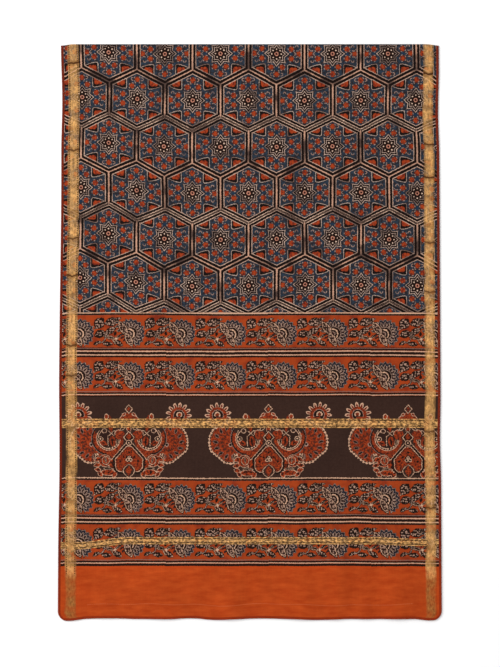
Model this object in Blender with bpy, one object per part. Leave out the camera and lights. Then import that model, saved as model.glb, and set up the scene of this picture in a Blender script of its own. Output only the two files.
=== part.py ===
"""A block-printed chanderi scarf, folded in half across its length and laid flat.

Sizes are in metres. +X runs across the cloth, +Y points at the fold and +Z is up from
the surface. The whole cloth is one solid: an upper layer, the fold along its far edge
and a lower layer under it. The rolled hem is part of the cloth.
"""
import math
from collections import namedtuple

import bmesh
import bpy

# The folded cloth, seen from above.
FOLDED_LENGTH = 0.840
WIDTH_AT_FOLD = 0.551
WIDTH_AT_HEM = 0.560
CORNER_RADIUS = 0.012

# Its section, from the surface up.
LAYER = 0.0012
GAP = 0.0012
HEM_WIDTH = 0.003
HEM_RISE = 0.0005

# The hidden layer's edges stay inside the upper ones, further in away from the fold.
LOWER_INSET = 0.002
INSET_RUN = 0.060

# The fold's two ends sit back a little, where the thick side hems turn.
FOLD_END_DROP = 0.002
FOLD_END_RUN = 0.018

# How finely the surface is divided.
COLUMN_STEP = 0.019
ROW_STEP = 0.0185
LOWER_ROW_STEP = 0.060
FOLD_STEPS = 6

# The edge columns and rows are closer together, to round the corners and carry the hem.
EDGE_COLUMNS = (0.0, 0.003, 0.009)
EDGE_ROWS = (0.0, 0.001, 0.003, 0.007, 0.012)

# The hem end isn't straight. A wave with a positive reach pushes out past the rest.
HemWave = namedtuple("HemWave", "x half_width reach")
HEM_WAVES = (
    HemWave(-0.262, 0.022, 0.0012),
    HemWave(-0.207, 0.045, -0.0012),
    HemWave(-0.088, 0.030, -0.0010),
    HemWave(-0.048, 0.030, 0.0014),
    HemWave(0.018, 0.040, -0.0008),
    HemWave(0.099, 0.040, 0.0014),
    HemWave(0.262, 0.024, 0.0022),
)
HEM_WAVE_RUN = 0.100

# Soft ridges of the upper layer. Each runs along the cloth at full height between its low
# and high ends, and fades past them. Lean is its drift across the cloth for each metre.
Ridge = namedtuple("Ridge", "x lean half_width height low high")
RIDGES = (
    Ridge(-0.207, 0.03, 0.026, 0.0016, -0.420, -0.240),
    Ridge(-0.124, -0.04, 0.034, 0.0022, -0.420, -0.190),
    Ridge(-0.025, 0.05, 0.026, 0.0026, -0.420, -0.150),
    Ridge(0.073, -0.03, 0.030, 0.0020, -0.420, -0.200),
    Ridge(0.127, 0.06, 0.020, 0.0022, -0.420, -0.260),
    Ridge(0.169, 0.02, 0.020, 0.0018, -0.420, -0.230),
    Ridge(0.216, -0.05, 0.028, 0.0022, -0.420, -0.180),
    Ridge(-0.180, 0.10, 0.055, 0.0014, -0.020, 0.240),
    Ridge(-0.060, -0.12, 0.060, 0.0016, 0.040, 0.330),
    Ridge(0.080, 0.08, 0.055, 0.0014, -0.060, 0.180),
    Ridge(0.190, -0.06, 0.050, 0.0016, 0.060, 0.320),
    Ridge(-0.238, 0.02, 0.022, 0.0016, -0.180, 0.340),
    Ridge(0.240, -0.02, 0.022, 0.0018, -0.160, 0.330),
)
RIDGE_FADE = 0.080

CLOTH_COLOUR = (0.27, 0.055, 0.012, 1.0)
CLOTH_ROUGHNESS = 0.85


def ease(value):
    """Goes smoothly from 0 to 1 as value goes from 0 to 1."""
    value = min(max(value, 0.0), 1.0)
    return value * value * (3.0 - 2.0 * value)


def bump(offset, half_width):
    """A soft bump of height 1, zero from half_width outward."""
    if abs(offset) >= half_width:
        return 0.0
    return 0.5 + 0.5 * math.cos(math.pi * offset / half_width)


def even_steps(start, stop, step):
    """Even values after start, up to and including stop."""
    count = max(1, round((stop - start) / step))
    return [start + (stop - start) * i / count for i in range(1, count + 1)]


def half_width_at(from_hem):
    """Half the cloth's width at a distance from the hem end, with its rounded corner."""
    share = from_hem / FOLDED_LENGTH
    half = 0.5 * (WIDTH_AT_HEM + (WIDTH_AT_FOLD - WIDTH_AT_HEM) * share)
    if from_hem < CORNER_RADIUS:
        run = CORNER_RADIUS - from_hem
        half -= CORNER_RADIUS - math.sqrt(CORNER_RADIUS ** 2 - run ** 2)
    return half


def hem_reach(x):
    """How far the hem end reaches past its mean line at x."""
    return sum(wave.reach * bump(x - wave.x, wave.half_width) for wave in HEM_WAVES)


def fold_drop(across):
    """How far the fold sits back at a distance from the cloth's middle."""
    start = 0.5 * WIDTH_AT_FOLD - FOLD_END_RUN
    return FOLD_END_DROP * ease((abs(across) - start) / FOLD_END_RUN)


def lift(x, y):
    """Height of the upper layer over its flat level."""
    total = 0.0
    for ridge in RIDGES:
        along = 1.0
        if y < ridge.low:
            along = ease(1.0 - (ridge.low - y) / RIDGE_FADE)
        if y > ridge.high:
            along = ease(1.0 - (y - ridge.high) / RIDGE_FADE)
        centre = ridge.x + ridge.lean * (y + 0.5 * FOLDED_LENGTH)
        total += ridge.height * along * bump(x - centre, ridge.half_width)
    return total


def hem_thickness(across, half, from_hem):
    """Extra thickness of the rolled edge."""
    edge = min(half - abs(across), from_hem)
    return HEM_RISE if edge < 0.75 * HEM_WIDTH else 0.0


def column_shares():
    """Positions across the cloth, -1 at its left edge and 1 at its right."""
    half = 0.5 * WIDTH_AT_HEM
    inner = half - EDGE_COLUMNS[-1]
    left = [-half + edge for edge in EDGE_COLUMNS]
    middle = even_steps(-inner, inner, COLUMN_STEP)
    right = [half - edge for edge in reversed(EDGE_COLUMNS[:-1])]
    return [x / half for x in left + middle + right]


def section(share):
    """Outer and inner points of one column, from the upper hem end round to the lower."""
    fold_radius = 0.5 * (2.0 * LAYER + GAP)
    fold_level = fold_radius
    inner_radius = 0.5 * GAP
    top = 2.0 * LAYER + GAP
    fold_from_hem = FOLDED_LENGTH - fold_radius
    hem_y = -0.5 * FOLDED_LENGTH
    outer = []
    inner = []

    upper_rows = list(EDGE_ROWS) + even_steps(EDGE_ROWS[-1], fold_from_hem, ROW_STEP)
    for from_hem in upper_rows:
        half = half_width_at(from_hem)
        x = share * half
        y = hem_y + from_hem
        y -= hem_reach(x) * (1.0 - ease(from_hem / HEM_WAVE_RUN))
        y -= fold_drop(x) * ease(from_hem / FOLDED_LENGTH)
        fade = 1.0 - ease((from_hem - fold_from_hem + 0.040) / 0.040)
        level = lift(x, y) * fade
        extra = hem_thickness(x, half, from_hem)
        outer.append((x, y, top + level + extra))
        inner.append((x, y, top + level - LAYER))

    x, fold_y, _ = outer[-1]
    for i in range(1, FOLD_STEPS):
        angle = math.pi * (0.5 - i / FOLD_STEPS)
        turn = (math.cos(angle), math.sin(angle))
        outer.append((x, fold_y + fold_radius * turn[0], fold_level + fold_radius * turn[1]))
        inner.append((x, fold_y + inner_radius * turn[0], fold_level + inner_radius * turn[1]))

    lower_rows = list(EDGE_ROWS) + even_steps(EDGE_ROWS[-1], fold_from_hem, LOWER_ROW_STEP)
    for from_hem in reversed(lower_rows):
        half = half_width_at(from_hem)
        inset = LOWER_INSET * ease((fold_from_hem - from_hem) / INSET_RUN)
        x = share * (half - inset)
        y = hem_y + from_hem
        y -= (hem_reach(x) - LOWER_INSET) * (1.0 - ease(from_hem / HEM_WAVE_RUN))
        y -= fold_drop(x) * ease(from_hem / FOLDED_LENGTH)
        extra = hem_thickness(x, half - inset, from_hem)
        outer.append((x, y, 0.0))
        inner.append((x, y, LAYER + extra))
    return outer, inner


def make_cloth():
    """Builds the folded cloth as one closed mesh, centred over its own outline."""
    columns = [section(share) for share in column_shares()]
    points = [point for outer, _ in columns for point in outer]
    middle_x = 0.5 * (min(p[0] for p in points) + max(p[0] for p in points))
    middle_y = 0.5 * (min(p[1] for p in points) + max(p[1] for p in points))

    mesh = bmesh.new()
    grid = []
    for outer, inner in columns:
        grid.append([[mesh.verts.new((x - middle_x, y - middle_y, z)) for x, y, z in side]
                     for side in (outer, inner)])
    rows = len(grid[0][0])
    for left, right in zip(grid, grid[1:]):
        for j in range(rows - 1):
            mesh.faces.new((left[0][j], right[0][j], right[0][j + 1], left[0][j + 1]))
            mesh.faces.new((left[1][j], left[1][j + 1], right[1][j + 1], right[1][j]))
        for end in (0, rows - 1):
            mesh.faces.new((left[0][end], left[1][end], right[1][end], right[0][end]))
    for side in (grid[0], grid[-1]):
        for j in range(rows - 1):
            mesh.faces.new((side[0][j], side[0][j + 1], side[1][j + 1], side[1][j]))
    bmesh.ops.recalc_face_normals(mesh, faces=mesh.faces)
    if mesh.calc_volume(signed=True) < 0.0:
        bmesh.ops.reverse_faces(mesh, faces=mesh.faces)

    data = bpy.data.meshes.new("scarf")
    mesh.to_mesh(data)
    mesh.free()
    data.shade_smooth()
    data.set_sharp_from_angle(angle=math.radians(35.0))
    return data


def cloth_material():
    """Plain dyed silk and cotton."""
    material = bpy.data.materials.new("printed_cloth")
    material.use_nodes = True
    shader = material.node_tree.nodes["Principled BSDF"]
    shader.inputs["Base Color"].default_value = CLOTH_COLOUR
    shader.inputs["Roughness"].default_value = CLOTH_ROUGHNESS
    shader.inputs["Metallic"].default_value = 0.0
    return material


def main():
    for item in list(bpy.data.objects):
        bpy.data.objects.remove(item, do_unlink=True)
    data = make_cloth()
    data.materials.append(cloth_material())
    cloth = bpy.data.objects.new("scarf", data)
    bpy.context.scene.collection.objects.link(cloth)


if __name__ == "__main__":
    main()
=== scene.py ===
"""Dresses the folded, block-printed chanderi scarf and sets the studio round it.

The print is drawn by shader nodes from the cloth's own flat coordinates: six-sided star cells
in the field, flower strips and large medallions in the border, and woven gold bands over all.
"""
import functools
import math
from collections import namedtuple

import bpy
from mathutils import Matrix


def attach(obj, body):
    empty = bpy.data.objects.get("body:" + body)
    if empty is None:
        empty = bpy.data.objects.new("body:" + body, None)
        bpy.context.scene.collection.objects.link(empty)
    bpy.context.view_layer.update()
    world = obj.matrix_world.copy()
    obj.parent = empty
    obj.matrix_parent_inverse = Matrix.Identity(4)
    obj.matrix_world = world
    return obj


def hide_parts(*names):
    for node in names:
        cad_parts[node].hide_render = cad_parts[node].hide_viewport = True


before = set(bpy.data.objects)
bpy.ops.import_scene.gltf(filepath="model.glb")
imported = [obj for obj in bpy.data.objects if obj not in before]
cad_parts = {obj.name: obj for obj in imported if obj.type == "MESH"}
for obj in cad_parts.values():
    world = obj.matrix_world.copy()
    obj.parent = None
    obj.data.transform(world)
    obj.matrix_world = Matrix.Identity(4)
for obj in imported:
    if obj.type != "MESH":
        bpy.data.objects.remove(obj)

bl_info = {
    "name": "Block-printed chanderi scarf",
    "version": (1, 0, 0),
    "blender": (4, 5, 0),
    "location": "3D View > Sidebar > Scarf",
    "description": "Builds a folded, block-printed scarf with woven gold bands",
    "category": "Add Mesh",
}

MM = 0.001

# The folded cloth, seen from above. The camera faces its middle.
FOLDED_LENGTH = 0.840
FLAT_WIDTH = 0.560
FLAT_LENGTH = 2.0 * FOLDED_LENGTH
WIDTH_AT_FOLD = 0.551
CORNER_RADIUS = 0.012
FOLD_END_DROP = 0.002
FOLD_END_RUN = 0.018
LOWER_INSET = 0.002
INSET_RUN = 0.060

# Its section: cloth thickness, the rolled hem, and the level of the upper layer. Within the
# hem margin of its outline the cloth has the hem's look.
CLOTH_THICK = 0.0004
HEM_WIDTH = 0.0030
HEM_THICK = 0.0017
UPPER_LEVEL = 0.0028
HEM_LIFT = 0.0019
HEM_MARGIN = 0.0036

HemWave = namedtuple("HemWave", "x half_width reach")
HEM_WAVES = (
    HemWave(-0.264, 0.026, 0.0028),
    HemWave(-0.207, 0.045, -0.0012),
    HemWave(-0.088, 0.030, -0.0010),
    HemWave(-0.048, 0.030, 0.0014),
    HemWave(0.018, 0.040, -0.0008),
    HemWave(0.099, 0.040, 0.0014),
    HemWave(0.262, 0.024, 0.0022),
)
HEM_WAVE_RUN = 0.100

# Where a side edge lies to the left or right of its mean line.
EdgeWave = namedtuple("EdgeWave", "side from_hem half_run shift")
EDGE_WAVES = (
    EdgeWave(-1, 0.760, 0.080, 0.0017),
    EdgeWave(-1, 0.620, 0.260, 0.0016),
    EdgeWave(-1, 0.225, 0.130, 0.0012),
    EdgeWave(1, 0.740, 0.064, -0.0015),
    EdgeWave(1, 0.262, 0.070, -0.0012),
)
EDGE_WAVE_START = 0.100
EDGE_WAVE_RUN = 0.160

# Soft ridges of the upper layer, at full height between low and high along the cloth.
Ridge = namedtuple("Ridge", "x lean half_width height low high")
RIDGES = (
    Ridge(-0.207, 0.03, 0.026, 0.0016, -0.420, -0.240),
    Ridge(-0.124, -0.04, 0.034, 0.0022, -0.420, -0.190),
    Ridge(-0.025, 0.05, 0.026, 0.0026, -0.420, -0.150),
    Ridge(0.073, -0.03, 0.030, 0.0020, -0.420, -0.200),
    Ridge(0.127, 0.06, 0.020, 0.0022, -0.420, -0.260),
    Ridge(0.169, 0.02, 0.020, 0.0018, -0.420, -0.230),
    Ridge(0.216, -0.05, 0.028, 0.0022, -0.420, -0.180),
    Ridge(-0.180, 0.10, 0.055, 0.0014, -0.020, 0.240),
    Ridge(-0.060, -0.12, 0.060, 0.0016, 0.040, 0.330),
    Ridge(0.080, 0.08, 0.055, 0.0014, -0.060, 0.180),
    Ridge(0.190, -0.06, 0.050, 0.0016, 0.060, 0.320),
    Ridge(-0.238, 0.02, 0.022, 0.0016, -0.180, 0.340),
    Ridge(0.240, -0.02, 0.022, 0.0018, -0.160, 0.330),
)
RIDGE_FADE = 0.080

# Puckers across the gold bands, where the metal thread gathers the cloth, and how dark the shade
# painted at each is.
Pucker = namedtuple("Pucker", "side from_hem run height dark")
PUCKERS = (
    Pucker(-1, 0.812, 0.010, 0.0012, 0.95),
    Pucker(-1, 0.717, 0.008, 0.0007, 0.55),
    Pucker(-1, 0.685, 0.009, 0.0011, 0.85),
    Pucker(-1, 0.631, 0.007, 0.0006, 0.40),
    Pucker(-1, 0.595, 0.009, 0.0009, 0.60),
    Pucker(-1, 0.556, 0.008, 0.0009, 0.80),
    Pucker(-1, 0.502, 0.009, 0.0009, 0.95),
    Pucker(-1, 0.475, 0.008, 0.0007, 0.60),
    Pucker(-1, 0.400, 0.009, 0.0009, 0.80),
    Pucker(-1, 0.356, 0.008, 0.0007, 0.75),
    Pucker(-1, 0.321, 0.007, 0.0006, 0.50),
    Pucker(-1, 0.280, 0.007, 0.0006, 0.55),
    Pucker(-1, 0.226, 0.010, 0.0011, 0.65),
    Pucker(-1, 0.172, 0.009, 0.0009, 0.60),
    Pucker(-1, 0.155, 0.007, 0.0006, 0.60),
    Pucker(-1, 0.112, 0.007, 0.0006, 0.50),
    Pucker(-1, 0.083, 0.007, 0.0006, 0.65),
    Pucker(1, 0.796, 0.010, 0.0012, 1.00),
    Pucker(1, 0.747, 0.008, 0.0008, 0.60),
    Pucker(1, 0.720, 0.007, 0.0006, 0.55),
    Pucker(1, 0.693, 0.010, 0.0010, 0.90),
    Pucker(1, 0.645, 0.009, 0.0010, 0.95),
    Pucker(1, 0.615, 0.007, 0.0006, 0.60),
    Pucker(1, 0.575, 0.009, 0.0009, 0.65),
    Pucker(1, 0.550, 0.008, 0.0008, 0.70),
    Pucker(1, 0.509, 0.007, 0.0006, 0.45),
    Pucker(1, 0.478, 0.008, 0.0008, 0.70),
    Pucker(1, 0.462, 0.007, 0.0006, 0.65),
    Pucker(1, 0.379, 0.009, 0.0009, 0.55),
    Pucker(1, 0.274, 0.008, 0.0008, 0.70),
    Pucker(1, 0.219, 0.009, 0.0009, 0.55),
    Pucker(1, 0.186, 0.008, 0.0007, 0.60),
    Pucker(1, 0.163, 0.008, 0.0008, 0.75),
    Pucker(1, 0.130, 0.009, 0.0008, 0.50),
    Pucker(1, 0.104, 0.007, 0.0006, 0.60),
    Pucker(1, 0.083, 0.007, 0.0006, 0.50),
)

# Where puckers are highest, how far they reach across, and how far their ends bow back.
PUCKER_FROM_SIDE = 0.017
PUCKER_HALF = 0.024
PUCKER_BOW = 0.004

# How far a pucker's painted shade reaches into the next zone, and how dark one is that also gets a
# painted sharp crease line.
PUCKER_MARGIN = 0.009
SHARP_PUCKER = 0.68

# The run over which ridges fade out towards the fold, and the share of the fold's radius that
# half the cloth's thickness may take.
FOLD_FADE = 0.040
FOLD_ROOM = 0.35

# Mesh steps.
COLUMN_STEP = 0.0050
ROW_STEP = 0.0036
LOWER_ROW_STEP = 0.0110
FOLD_STEPS = 8
EDGE_STEPS = (0.0, 0.00025, 0.00075, 0.0015, 0.00225, 0.0028, 0.0031, 0.0038, 0.0050)
CORNER_STEPS = (0.0064, 0.0080, 0.0100, 0.0120)

# The printed zones, from the hem end to the fold. low and high are distances from the hem
# end; print_low and print_high are where they fall in the zone's own drawing.
Zone = namedtuple("Zone", "name low high print_low print_high")
ZONES = (
    Zone("plain_end", 0.0, 0.0752, 0.0, 0.0752),
    Zone("flower_strips", 0.0752, 0.1439, -0.0677, 0.0),
    Zone("flower_strips", 0.1439, 0.2046, 0.0, 0.0593),
    Zone("medallions", 0.2046, 0.3240, -0.0010, 0.1199),
    Zone("flower_strips", 0.3240, 0.3873, -0.0644, 0.0),
    Zone("flower_strips", 0.3873, 0.4462, 0.0, 0.0605),
    Zone("star_cells", 0.4462, 0.8400, 0.4462, 0.8400),
)
MATERIAL_ORDER = ("plain_end", "flower_strips", "medallions", "star_cells", "hem", "inside")

# Star cells, in millimetres. Rows sag a little towards the right.
CELL_HALF = 41.05
CELL_SIDE = 23.2
CELL_SLANT = 20.4
CELL_ROW = 2.0 * CELL_SIDE + CELL_SLANT
CELL_X = 38.5
CELL_FROM_FOLD = 12.4
CELL_ROW_SKEW = 0.0125
CELL_SLANT_COSINE = 0.896

# The rows sag most at one place across the cloth, and more the farther they lie from the fold.
CELL_SAG = 0.0190
CELL_SAG_X = 0.212
CELL_SAG_HALF = 0.180
CELL_DROP = 0.0031
CELL_LEFT_RISE = 0.0030
CELL_LEFT_X = 0.150
CELL_LEFT_RUN = 0.100
CELL_STRETCH = 0.010

# Flower strips and medallions, in millimetres.
FLOWER_PITCH = 74.8
FLOWER_X = 48.4
FLOWER_WINDOW = 21.2
STRIP_Y = 32.0
MEDALLION_PITCH = 205.0
MEDALLION_X = 27.3

# A star cell's star: its points' reach, and the slope of their sides as cosine and sine.
STAR_REACH = 17.9
STAR_SIDE = (0.6115, 0.791)
BEADS_REACH = 7.0

# A red flower of the cells: its radius, how far its lobes stand out, and how many it has.
FLOWER_RADIUS = 3.55
FLOWER_LOBE = 0.60
FLOWER_LOBES = 5.0

# A palmette: its middle, its eye, the direction it opens in, and its petals' angle and number.
PALMETTE_MIDDLE = (0.4, -2.4)
PALMETTE_EYE = (-1.4, -3.4)
PALMETTE_AIM = 28.0
PETAL_DEGREES = 20.0
PETALS_EACH_WAY = 4.75

# Round forms of a medallion: middles, radii, and half the angle from one dash, bead or ray to
# the next.
FAN_MIDDLE = (55.8, 52.6)
FAN_RADIUS = 31.8
FAN_SCALLOPS = 40.0
DASH_HALF_DEGREES = 12.5
BOWL_MIDDLE = (30.4, 58.2)
BOWL_OUTER = 25.4
BOWL_INNER = 17.9
BOWL_LINE = 15.0
BOWL_TOP = 70.0
BEAD_HALF_DEGREES = 8.0
SUN_MIDDLE = (73.5, 92.2)
SUN_RADIUS = 12.6
RAY_HALF_DEGREES = 13.8

# Prints of one wood block beside the next, in millimetres.
BLOCK_PITCH = 150.0
BLOCK_START = 0.82
BLOCK_STEP = -0.6

# Woven gold bands, in millimetres.
BAND_LEFT = 17.9
BAND_LEFT_HALF = 8.4
BAND_RIGHT = 15.3
BAND_RIGHT_HALF = 7.7
STRIP_HALF = 6.6
STRIP_UPPER = 285.5
LOWER_STRIP_HALF = 5.3
STRIP_LOWER = 114.3

# Side bands are bronze up to here from the hem end, and gold beyond.
BRONZE_END = 56.0

# How far from a pucker its painted shade and its painted crease line reach, and how far they are at
# their darkest.
SHADE_REACH = 6.5
CREASE_SHADE_REACH = 1.9
PUCKER_CORE = 0.5

# The lower strip drops towards each side, between these places across the cloth.
StripBend = namedtuple("StripBend", "start stop drop")
STRIP_BENDS = (StripBend(105.0, 26.0, 7.4), StripBend(455.0, 535.0, 2.6))

# The folded cloth's length and width in millimetres, for the drawings.
LENGTH_MM = FOLDED_LENGTH / MM
WIDTH_MM = FLAT_WIDTH / MM

# How softly the edge of printed ink ends, in millimetres.
SOFT = 0.35

# The cloth's roughness, and how fast its weave turns from thread to thread.
CLOTH_ROUGH = 0.78
WEAVE_TURNS = 14.0

# The line of running stitches, and its slow waves along the cloth.
STITCHES_START = -0.236
STITCHES_RUN = 0.472
STITCHES_FROM_HEM = 0.0232
STITCHES_ABOVE = 0.00005
STITCH_PATH_STEPS = 120
StitchWave = namedtuple("StitchWave", "reach turns start")
STITCH_WAVES = (StitchWave(0.0008, 31.0, 0.0), StitchWave(0.0006, 83.0, 1.0))

# The studio: the floor, the soft light, and the height of the photograph's frame at the cloth.
FLOOR_HALF = 3.0
FLOOR_LEVEL = -0.0003
KEY_SIZE = 1.6
KEY_PLACE = (-1.0, 0.6, 2.0)
SENSOR_WIDTH = 36.0
FRAME_HEIGHT = 0.9727
CAMERA_X = 0.0003
CAMERA_Y = -0.0015


def screen(red, green, blue):
    """A colour as a screen shows it, 0 to 255, in the shader's own linear numbers."""
    def linear(value):
        value /= 255.0
        if value <= 0.04045:
            return value / 12.92
        return ((value + 0.055) / 1.055) ** 2.4

    return (linear(red), linear(green), linear(blue), 1.0)


CREAM = screen(196, 154, 126)
PALE = screen(160, 128, 112)
DULL = screen(116, 92, 82)
BLACK = screen(31, 17, 12)
RED = screen(152, 57, 23)
GROUND_RED = screen(152, 58, 22)
DEEP_RED = screen(98, 30, 20)
ORANGE = screen(172, 63, 19)
GOLD = screen(188, 141, 84)
BRONZE = screen(132, 88, 43)
RUST = screen(122, 46, 26)
BROWN = screen(50, 32, 26)
CELL_DARK = screen(20, 10, 8)


class ScarfSizes(bpy.types.PropertyGroup):
    """Sizes and colours that a user would change."""

    cloth_thickness: bpy.props.FloatProperty(
        name="Cloth thickness",
        description="Thickness of one layer of the cloth",
        default=CLOTH_THICK, min=0.0001, max=0.002, precision=5,
        subtype="DISTANCE", unit="LENGTH",
    )
    hem_thickness: bpy.props.FloatProperty(
        name="Hem thickness",
        description="Height of the rolled hem",
        default=HEM_THICK, min=0.0005, max=0.003, precision=5,
        subtype="DISTANCE", unit="LENGTH",
    )
    ground_colour: bpy.props.FloatVectorProperty(
        name="Plain end colour",
        description="Colour of the unprinted end of the cloth",
        default=ORANGE, size=4, min=0.0, max=1.0,
        subtype="COLOR",
    )
    gold_colour: bpy.props.FloatVectorProperty(
        name="Gold thread colour",
        description="Colour of the woven gold bands",
        default=GOLD, size=4, min=0.0, max=1.0,
        subtype="COLOR",
    )


class StitchSizes(bpy.types.PropertyGroup):
    """Sizes of the running stitches near the hem end."""

    spacing: bpy.props.FloatProperty(
        name="Stitch spacing",
        description="Distance from one stitch to the next",
        default=0.0032, min=0.001, max=0.02, precision=4,
        subtype="DISTANCE", unit="LENGTH",
    )
    length: bpy.props.FloatProperty(
        name="Stitch length",
        description="Length of thread that shows in one stitch",
        default=0.0013, min=0.0002, max=0.01, precision=4,
        subtype="DISTANCE", unit="LENGTH",
    )
    thread: bpy.props.FloatProperty(
        name="Thread thickness",
        description="Thickness of the sewing thread",
        default=0.00035, min=0.0001, max=0.002, precision=5,
        subtype="DISTANCE", unit="LENGTH",
    )


class StudioSizes(bpy.types.PropertyGroup):
    """Light and lens."""

    lens: bpy.props.FloatProperty(
        name="Lens",
        description="Focal length of the camera in millimetres",
        default=85.0, min=20.0, max=300.0,
    )
    surround: bpy.props.FloatProperty(
        name="Surround light",
        description="Strength of the even light from all round",
        default=0.62, min=0.0, max=5.0,
    )
    key_light: bpy.props.FloatProperty(
        name="Key light",
        description="Power of the soft light at the upper left",
        default=39.0, min=0.0, max=1000.0, unit="POWER",
    )


def ease(value):
    """Goes smoothly from 0 to 1 as value goes from 0 to 1."""
    value = min(max(value, 0.0), 1.0)
    return value * value * (3.0 - 2.0 * value)


def bump(offset, half_width):
    """A soft bump of height 1, zero from half_width outward."""
    if abs(offset) >= half_width:
        return 0.0
    return 0.5 + 0.5 * math.cos(math.pi * offset / half_width)


def even_steps(start, stop, step):
    """Even values after start, up to and including stop."""
    count = max(1, round((stop - start) / step))
    return [start + (stop - start) * i / count for i in range(1, count + 1)]


def full_half_width(from_hem):
    """Half the folded cloth's width, without the corners."""
    share = from_hem / FOLDED_LENGTH
    return 0.5 * (FLAT_WIDTH + (WIDTH_AT_FOLD - FLAT_WIDTH) * share)


def corner_inset(from_hem):
    """How far the rounded corner draws the edge in."""
    if from_hem >= CORNER_RADIUS:
        return 0.0
    run = CORNER_RADIUS - from_hem
    return CORNER_RADIUS - math.sqrt(CORNER_RADIUS ** 2 - run ** 2)


def from_edge(x, half, from_hem):
    """Distance from the cloth's outline, round its corners too."""
    side = half - abs(x)
    if side < CORNER_RADIUS and from_hem < CORNER_RADIUS:
        reach = math.hypot(CORNER_RADIUS - side, CORNER_RADIUS - from_hem)
        return CORNER_RADIUS - reach
    return min(side, from_hem)


def hem_reach(x):
    """How far the hem end reaches past its mean line at x."""
    return sum(wave.reach * bump(x - wave.x, wave.half_width) for wave in HEM_WAVES)


def edge_shift(x, from_hem):
    """How far the waves of the nearer side edge move a point across the cloth."""
    total = 0.0
    for wave in EDGE_WAVES:
        share = ease((wave.side * x - EDGE_WAVE_START) / EDGE_WAVE_RUN)
        total += wave.shift * share * bump(from_hem - wave.from_hem, wave.half_run)
    return total


def fold_drop(x):
    """How far the fold sits back at x."""
    start = 0.5 * WIDTH_AT_FOLD - FOLD_END_RUN
    return FOLD_END_DROP * ease((abs(x) - start) / FOLD_END_RUN)


def lift(x, y):
    """Height of the upper layer's ridges."""
    total = 0.0
    for ridge in RIDGES:
        along = 1.0
        if y < ridge.low:
            along = ease(1.0 - (ridge.low - y) / RIDGE_FADE)
        if y > ridge.high:
            along = ease(1.0 - (y - ridge.high) / RIDGE_FADE)
        if along > 0.0:
            centre = ridge.x + ridge.lean * (y + 0.5 * FOLDED_LENGTH)
            total += ridge.height * along * bump(x - centre, ridge.half_width)
    return total


def pucker_lift(x, half, from_hem):
    """Height of the puckers across the gold bands, bowed towards the hem end."""
    across = bump(half - abs(x) - PUCKER_FROM_SIDE, PUCKER_HALF)
    total = 0.0
    if across > 0.0:
        bow = PUCKER_BOW * (1.0 - across)
        for pucker in PUCKERS:
            if pucker.side * x > 0.0:
                offset = from_hem - pucker.from_hem - bow
                total += pucker.height * across * bump(offset, pucker.run)
    return total


def hem_half_thick(edge, cloth, hem):
    """Half the cloth's thickness at a distance from its outline."""
    middle = 0.5 * HEM_WIDTH
    if edge >= HEM_WIDTH:
        return 0.5 * cloth
    share = max(0.0, 1.0 - ((edge - middle) / middle) ** 2)
    return max(0.5 * hem * math.sqrt(share), 0.5 * cloth * ease(edge / middle))


Station = namedtuple("Station", "flat from_hem layer turn zone")


def make_stations():
    """Rows of the cloth from the upper hem end, round the fold, to the lower hem end."""
    def layer_rows(step):
        """Rows of one layer from its hem end, each with its zone."""
        rows = []
        for number, zone in enumerate(ZONES):
            start = zone.low
            if number == 0:
                edge = list(EDGE_STEPS + CORNER_STEPS)
                rows += [(place, number) for place in edge]
                start = edge[-1]
            stop = min(zone.high, fold_start)
            rows += [(place, number) for place in even_steps(start, stop, step)]
        return rows

    fold_start = FOLDED_LENGTH - UPPER_LEVEL
    stations = [Station(w, w, "upper", 0.0, zone) for w, zone in layer_rows(ROW_STEP)]
    for i in range(1, FOLD_STEPS):
        share = i / FOLD_STEPS
        flat = fold_start + 2.0 * UPPER_LEVEL * share
        stations.append(Station(flat, fold_start, "fold", share, len(ZONES) - 1))
    lower = reversed(layer_rows(LOWER_ROW_STEP))
    stations += [Station(FLAT_LENGTH - w, w, "lower", 1.0, zone) for w, zone in lower]
    return stations


def make_columns():
    """Places across the flat cloth, from its left edge."""
    edge = list(EDGE_STEPS)
    middle = even_steps(edge[-1], FLAT_WIDTH - edge[-1], COLUMN_STEP)
    return edge + middle + [FLAT_WIDTH - place for place in reversed(edge[:-1])]


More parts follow.
